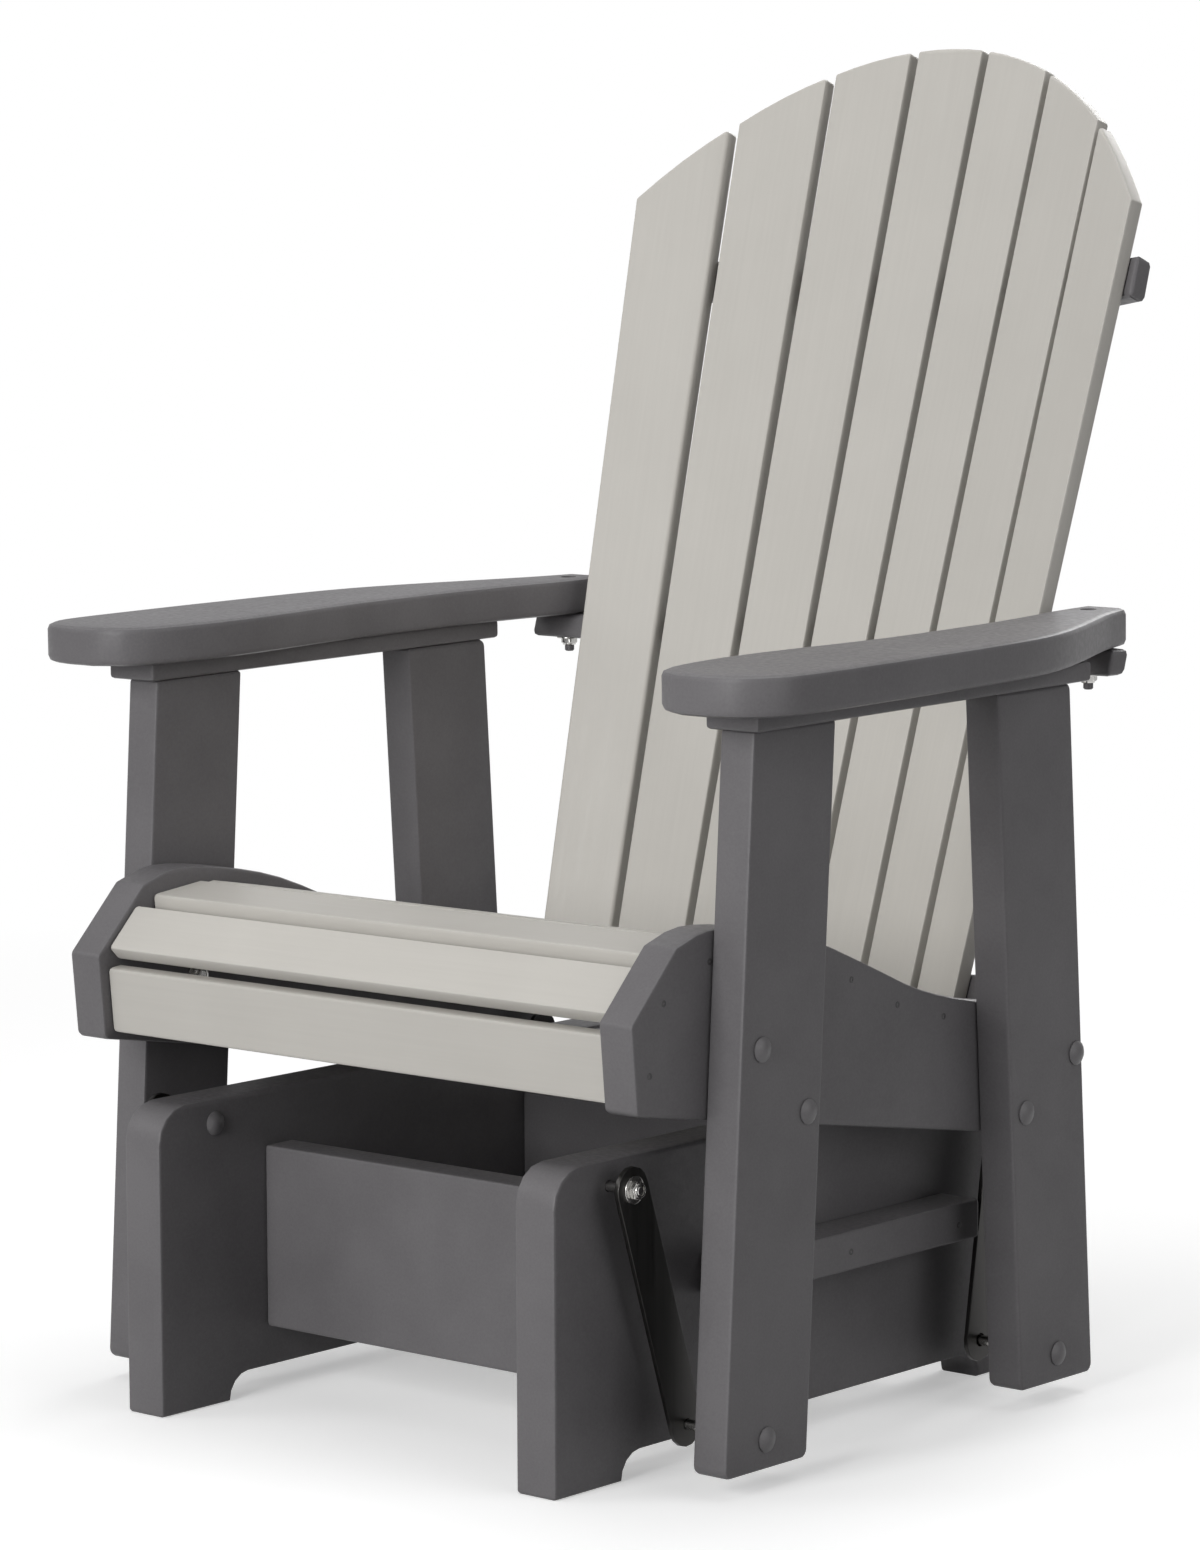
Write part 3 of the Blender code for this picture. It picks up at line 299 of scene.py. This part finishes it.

# What all the fasteners share: the angle from which an edge is rounded, the angle up to which it is shaded
# smooth, and the distance within which two places are the same
shaping = {"sharpFrom": 50, "smoothTo": 32, "tiny": 0.000001}


def deselect():
    if bpy.context.mode != "OBJECT":
        bpy.ops.object.mode_set(mode="OBJECT")
    bpy.ops.object.select_all(action="DESELECT")


def makeActive(piece):
    deselect()
    piece.select_set(True)
    bpy.context.view_layer.objects.active = piece


def addDrum(name, sides, radius, height, bottom):
    deselect()
    bpy.ops.mesh.primitive_cylinder_add(vertices=sides, radius=radius, depth=height,
                                        location=(0.0, 0.0, bottom + height / 2))
    drum = bpy.context.active_object
    drum.name = name
    bpy.ops.object.transform_apply(location=True, rotation=True, scale=True)
    return drum


def pickEnds(piece, *heights):
    # an end is a flat face at one of these heights with its middle on the piece's own axis
    makeActive(piece)
    bpy.ops.object.mode_set(mode="EDIT")
    bpy.ops.mesh.select_mode(type="FACE")
    bpy.ops.mesh.select_all(action="DESELECT")
    bpy.ops.object.mode_set(mode="OBJECT")
    for face in piece.data.polygons:
        onAxis = face.center.xy.length < shaping["tiny"]
        face.select = onAxis and any(abs(face.center.z - height) < shaping["tiny"] for height in heights)
    bpy.ops.object.mode_set(mode="EDIT")


def bevelSharp(piece, width, steps):
    makeActive(piece)
    bpy.ops.object.mode_set(mode="EDIT")
    bpy.ops.mesh.select_mode(type="EDGE")
    bpy.ops.mesh.select_all(action="DESELECT")
    bpy.ops.mesh.edges_select_sharp(sharpness=math.radians(shaping["sharpFrom"]))
    bpy.ops.mesh.bevel(offset=width, segments=steps, affect="EDGES")


def cutWith(piece, cutter, operation):
    change = piece.modifiers.new("cut", "BOOLEAN")
    change.operation = operation
    change.object = cutter
    change.solver = "EXACT"
    makeActive(piece)
    bpy.ops.object.modifier_apply(modifier=change.name)
    bpy.data.objects.remove(cutter)


def finishPiece(piece):
    makeActive(piece)
    bpy.ops.object.mode_set(mode="EDIT")
    bpy.ops.mesh.select_all(action="SELECT")
    bpy.ops.mesh.normals_make_consistent(inside=False)
    bpy.ops.object.mode_set(mode="OBJECT")
    bpy.ops.object.shade_smooth_by_angle(angle=math.radians(shaping["smoothTo"]))
    return piece


def placeCopy(master, name, point, normal, body, material, twist=0.0):
    copy = master.copy()
    copy.data = master.data.copy()
    copy.name = name
    bpy.context.scene.collection.objects.link(copy)
    turn = Vector(normal).to_track_quat("Z", "Y").to_matrix().to_4x4()
    copy.matrix_world = Matrix.Translation(point) @ turn @ Matrix.Rotation(twist, 4, "Z")
    makeActive(copy)
    bpy.ops.object.transform_apply(location=True, rotation=True, scale=True)
    copy.data.materials.clear()
    copy.data.materials.append(material)
    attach(copy, body)


# Plain washer: punched, with rolled rims
washer = {"sides": 48, "radius": 0.0105, "holeRadius": 0.0043, "thick": 0.0015, "rim": 0.00025,
          "rimSteps": 2}


def makeWasher(settings):
    piece = addDrum("washerMaster", settings["sides"], settings["radius"], settings["thick"], 0.0)
    pickEnds(piece, 0.0, settings["thick"])
    bpy.ops.mesh.inset(thickness=settings["radius"] - settings["holeRadius"])
    bpy.ops.mesh.bridge_edge_loops()
    bevelSharp(piece, settings["rim"], settings["rimSteps"])
    return finishPiece(piece)


# Lock nut: a turned blank with a round collar that grips the thread, then six flats cut on it. The blank is
# wider than the flats by blankShare, so that they leave its corners turned
nut = {"sides": 48, "acrossFlats": 0.013, "blankShare": 1.1236, "height": 0.0043, "turnedRim": 0.0009,
       "collarRadius": 0.0056, "collarHeight": 0.0014, "holeRadius": 0.00405, "rim": 0.0003, "rimSteps": 2}


def makeNut(settings):
    radius = settings["acrossFlats"] / 2 * settings["blankShare"]
    height = settings["height"]
    top = height + settings["collarHeight"]
    piece = addDrum("nutMaster", settings["sides"], radius, height, 0.0)
    bevelSharp(piece, settings["turnedRim"], 1)
    pickEnds(piece, height)
    bpy.ops.mesh.inset(thickness=radius - settings["turnedRim"] - settings["collarRadius"])
    bpy.ops.mesh.extrude_region_move(TRANSFORM_OT_translate={"value": (0.0, 0.0, settings["collarHeight"])})
    bpy.ops.mesh.region_to_loop()
    bpy.ops.mesh.bevel(offset=settings["rim"], segments=settings["rimSteps"], affect="EDGES")
    pickEnds(piece, top)
    bpy.ops.mesh.inset(thickness=settings["collarRadius"] - settings["rim"] - settings["holeRadius"])
    pickEnds(piece, 0.0)
    bpy.ops.mesh.inset(thickness=radius - settings["turnedRim"] - settings["holeRadius"])
    pickEnds(piece, 0.0, top)
    bpy.ops.mesh.bridge_edge_loops()
    hexagon = addDrum("hexagon", 6, settings["acrossFlats"] / math.sqrt(3), top + height, -height / 2)
    cutWith(piece, hexagon, "INTERSECT")
    return finishPiece(piece)


# Trim screw: small head just proud of the board, with a square socket
screw = {"sides": 24, "radius": 0.0026, "proud": 0.0003, "sunk": 0.0012, "rim": 0.0002, "rimSteps": 2,
         "socketRadius": 0.0013, "socketDepth": 0.0009}


def makeScrew(settings):
    length = settings["proud"] + settings["sunk"]
    piece = addDrum("screwMaster", settings["sides"], settings["radius"], length, -settings["sunk"])
    bevelSharp(piece, settings["rim"], settings["rimSteps"])
    socket = addDrum("socket", 4, settings["socketRadius"], settings["socketDepth"] * 2,
                     settings["proud"] - settings["socketDepth"])
    cutWith(piece, socket, "DIFFERENCE")
    return finishPiece(piece)


washerMaster = makeWasher(washer)
nutMaster = makeNut(nut)
screwMaster = makeScrew(screw)
print("washer, nut and screw modelled")


def fastenBolt(bolt, point, outward, twist):
    onWasher = point + outward * washer["thick"]
    placeCopy(washerMaster, "washer_" + bolt, point, outward, bodyOf[bolt], steelBolt)
    placeCopy(nutMaster, "nut_" + bolt, onWasher, outward, bodyOf[bolt], steelBolt, twist)


def fastenAcross(bolt, face, sign, twist):
    low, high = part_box(bolt)
    middle = (low + high) / 2
    fastenBolt(bolt, Vector((face, middle.y, middle.z)), Vector((sign, 0.0, 0.0)), twist)


# How far round the nuts are turned, in radians, so that they don't all stand alike
nutTurn = {"first": 0.3, "lowerMore": 0.4, "sideMore": 0.5}
turn = nutTurn["first"]
for side, sign in sideSigns.items():
    inner, outer = (0, 1) if sign > 0 else (1, 0)
    for place in ("front", "rear"):
        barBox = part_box(f"swing_arm_{place}_{side}")
        lowerTurn = turn + nutTurn["lowerMore"]
        fastenAcross(f"upper_pivot_bolt_{place}_{side}", barBox[outer].x, sign, turn)
        fastenAcross(f"lower_pivot_bolt_{place}_{side}", barBox[inner].x, -sign, lowerTurn)
        for number in (1, 2):
            fastenAcross(f"leg_bolt_{place}_{number}_{side}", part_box(f"seat_side_{side}")[inner].x, -sign,
                         turn * number)
    turn += nutTurn["sideMore"]
    arm = f"armrest_bolt_{side}"
    middle, along, _ = boardAxes(arm)
    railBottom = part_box("back_rail_middle")[0].z
    under = middle + along * ((railBottom - middle.z) / along.z)
    fastenBolt(arm, under, Vector((0.0, 0.0, -1.0)), turn)
print("nuts and washers placed")

# Trim screws: how far back from the base's front each one is and how high, in metres
screwRows = (
    {"name": "seatScrew", "board": "seat_side", "turn": 0.7,
     "places": ((0.0445, 0.3653), (0.0287, 0.3148), (0.0963, 0.3895), (0.2629, 0.3562), (0.3193, 0.3303),
                (0.3771, 0.3142))},
    {"name": "stripScrew", "board": "stop_strip", "turn": 0.9,
     "places": ((0.1906, 0.1412), (0.2987, 0.1408), (0.4354, 0.1400))},
)
for side, sign in sideSigns.items():
    for row in screwRows:
        board = f"{row['board']}_{side}"
        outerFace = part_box(board)[1 if sign > 0 else 0].x
        for number, (back, high) in enumerate(row["places"]):
            point = (outerFace, back + baseFront, high)
            placeCopy(screwMaster, f"{row['name']}_{number + 1}_{side}", point, (sign, 0, 0), bodyOf[board],
                      screwFinish, number * row["turn"])

# Each back slat is held from behind, so that its front face stays clear
backScrew = {"turn": 0.5, "clear": 0.3}  # clear: the search for the rail's face starts this far behind it
backSlats = sorted(node for node in nodes if node.startswith("back_slat"))
for rail in ("lower", "middle", "upper"):
    railName = "back_rail_" + rail
    low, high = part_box(railName)
    railHeight = (low.z + high.z) / 2
    for number, slat in enumerate(backSlats, 1):
        middle, along, facing = boardAxes(slat)
        facing = facing if facing.y > 0 else -facing
        start = middle + along * ((railHeight - middle.z) / along.z) + facing * backScrew["clear"]
        hit, point, normal, _ = nodes[railName].ray_cast(start, -facing)
        if hit:
            placeCopy(screwMaster, f"backScrew_{rail}_{number}", point, normal, bodyOf[railName],
                      screwFinish, number * backScrew["turn"])
for master in (washerMaster, nutMaster, screwMaster):
    bpy.data.objects.remove(master)
print("screws placed")

# Floor: pale matt paper. It is seen lifted to nearly white, with the chair's shadow on it, and plain white
# further out. It throws back less light than it shows, so that the chair's undersides stay dark
floor = {"size": 9.0, "colour": "#e9e9e9", "bounce": "#8f8f8f", "lift": 0.42, "fadeFrom": 0.9,
         "fadeTo": 2.6}
deselect()
bpy.ops.mesh.primitive_plane_add(size=floor["size"], location=(0.0, 0.0, 0.0))
floorPiece = bpy.context.active_object
floorPiece.name = "floor"
paper, tree = newMaterial("PaperMattWhite")
coords = addNode(tree, "ShaderNodeTexCoord").outputs["Object"]
away = addNode(tree, "ShaderNodeVectorMath", {"operation": "LENGTH"}, {0: coords}).outputs["Value"]
fade = addNode(tree, "ShaderNodeMapRange", {"From Min": floor["fadeFrom"], "From Max": floor["fadeTo"]},
               {"Value": away}).outputs[0]
matt = addNode(tree, "ShaderNodeBsdfDiffuse", {"Color": linear(floor["colour"])}).outputs[0]
glow = addNode(tree, "ShaderNodeEmission", {"Strength": floor["lift"]}).outputs[0]
white = addNode(tree, "ShaderNodeEmission", {"Strength": 1.0}).outputs[0]
lifted = addNode(tree, "ShaderNodeAddShader", {}, {0: matt, 1: glow}).outputs[0]
shown = addNode(tree, "ShaderNodeMixShader", {}, {0: fade, 1: lifted, 2: white}).outputs[0]
rays = addNode(tree, "ShaderNodeLightPath").outputs
mirrored = addNode(tree, "ShaderNodeMath", {"operation": "MAXIMUM"},
                   {0: rays["Is Glossy Ray"], 1: rays["Is Transmission Ray"]}).outputs[0]
isSeen = addNode(tree, "ShaderNodeMath", {"operation": "MAXIMUM"},
                 {0: rays["Is Camera Ray"], 1: mirrored}).outputs[0]
dull = addNode(tree, "ShaderNodeBsdfDiffuse", {"Color": linear(floor["bounce"])}).outputs[0]
surface = addNode(tree, "ShaderNodeMixShader", {}, {0: isSeen, 1: dull, 2: shown}).outputs[0]
addNode(tree, "ShaderNodeOutputMaterial", {}, {"Surface": surface})
floorPiece.data.materials.append(paper)

# Studio: white behind the chair, softer white in its reflections, and no light of its own
studio = {"colour": "#ffffff", "ambient": 0.0, "seenWhite": 1.0, "glossWhite": 0.60}
world = bpy.data.worlds.new("Studio")
world.use_nodes = True
tree = world.node_tree
tree.nodes.clear()
bpy.context.scene.world = world
rays = addNode(tree, "ShaderNodeLightPath").outputs
isSeen = addNode(tree, "ShaderNodeMath", {"operation": "MAXIMUM"},
                 {0: rays["Is Camera Ray"], 1: rays["Is Transmission Ray"]}).outputs[0]
plain = linear(studio["colour"])
dim = addNode(tree, "ShaderNodeBackground", {"Color": plain, "Strength": studio["ambient"]}).outputs[0]
gloss = addNode(tree, "ShaderNodeBackground", {"Color": plain, "Strength": studio["glossWhite"]}).outputs[0]
bright = addNode(tree, "ShaderNodeBackground", {"Color": plain, "Strength": studio["seenWhite"]}).outputs[0]
unseen = addNode(tree, "ShaderNodeMixShader", {}, {0: rays["Is Glossy Ray"], 1: dim, 2: gloss}).outputs[0]
sky = addNode(tree, "ShaderNodeMixShader", {}, {0: isSeen, 1: unseen, 2: bright}).outputs[0]
addNode(tree, "ShaderNodeOutputWorld", {}, {"Surface": sky})

# Lamps: square softboxes, all turned to the middle of the chair
lamps = {
    "lampTop": {"place": (-0.2, 0.3, 3.3), "size": 2.4, "power": 53},
    "lampFront": {"place": (0.3, -3.9, 1.6), "size": 1.8, "power": 95},
    "lampLow": {"place": (0.3, -3.9, 0.5), "size": 1.4, "power": 18},
    "lampLeft": {"place": (-2.8, -2.8, 2.4), "size": 1.8, "power": 23},
    "lampRight": {"place": (3.9, -0.5, 1.3), "size": 2.0, "power": 22},
    "lampRightHigh": {"place": (2.9, 0.8, 2.6), "size": 1.8, "power": 15},
    "lampRear": {"place": (-0.9, 3.9, 1.9), "size": 2.2, "power": 60},
}
lampAim = Vector((0.0, 0.0, 0.5))
for name, settings in lamps.items():
    lampData = bpy.data.lights.new(name, "AREA")
    lampData.shape = "SQUARE"
    lampData.size = settings["size"]
    lampData.energy = settings["power"]
    lamp = bpy.data.objects.new(name, lampData)
    bpy.context.scene.collection.objects.link(lamp)
    turn = (lampAim - Vector(settings["place"])).to_track_quat("-Z", "Y").to_matrix().to_4x4()
    lamp.matrix_world = Matrix.Translation(settings["place"]) @ turn
print("studio lit")

# Camera: long lens to the chair's front left, a little over the seat
eye = {"place": (2.6727, -2.8165, 0.9623), "yaw": 0.7073, "pitch": 0.1156, "roll": -0.0045, "lens": 122.86,
       "filmHeight": 36.0}
cameraData = bpy.data.cameras.new("camera")
cameraData.sensor_fit = "VERTICAL"
cameraData.sensor_height = eye["filmHeight"]
cameraData.lens = eye["lens"]
camera = bpy.data.objects.new("camera", cameraData)
bpy.context.scene.collection.objects.link(camera)
level = math.cos(eye["pitch"])
look = Vector((-math.sin(eye["yaw"]) * level, math.cos(eye["yaw"]) * level, -math.sin(eye["pitch"])))
place = Vector(eye["place"]) + Vector((0.0, baseFront, 0.0))
turn = look.to_track_quat("-Z", "Y").to_matrix().to_4x4()
camera.matrix_world = Matrix.Translation(place) @ turn @ Matrix.Rotation(eye["roll"], 4, "Z")
bpy.context.scene.camera = camera
bpy.context.scene.view_settings.view_transform = "Standard"
print("camera placed")
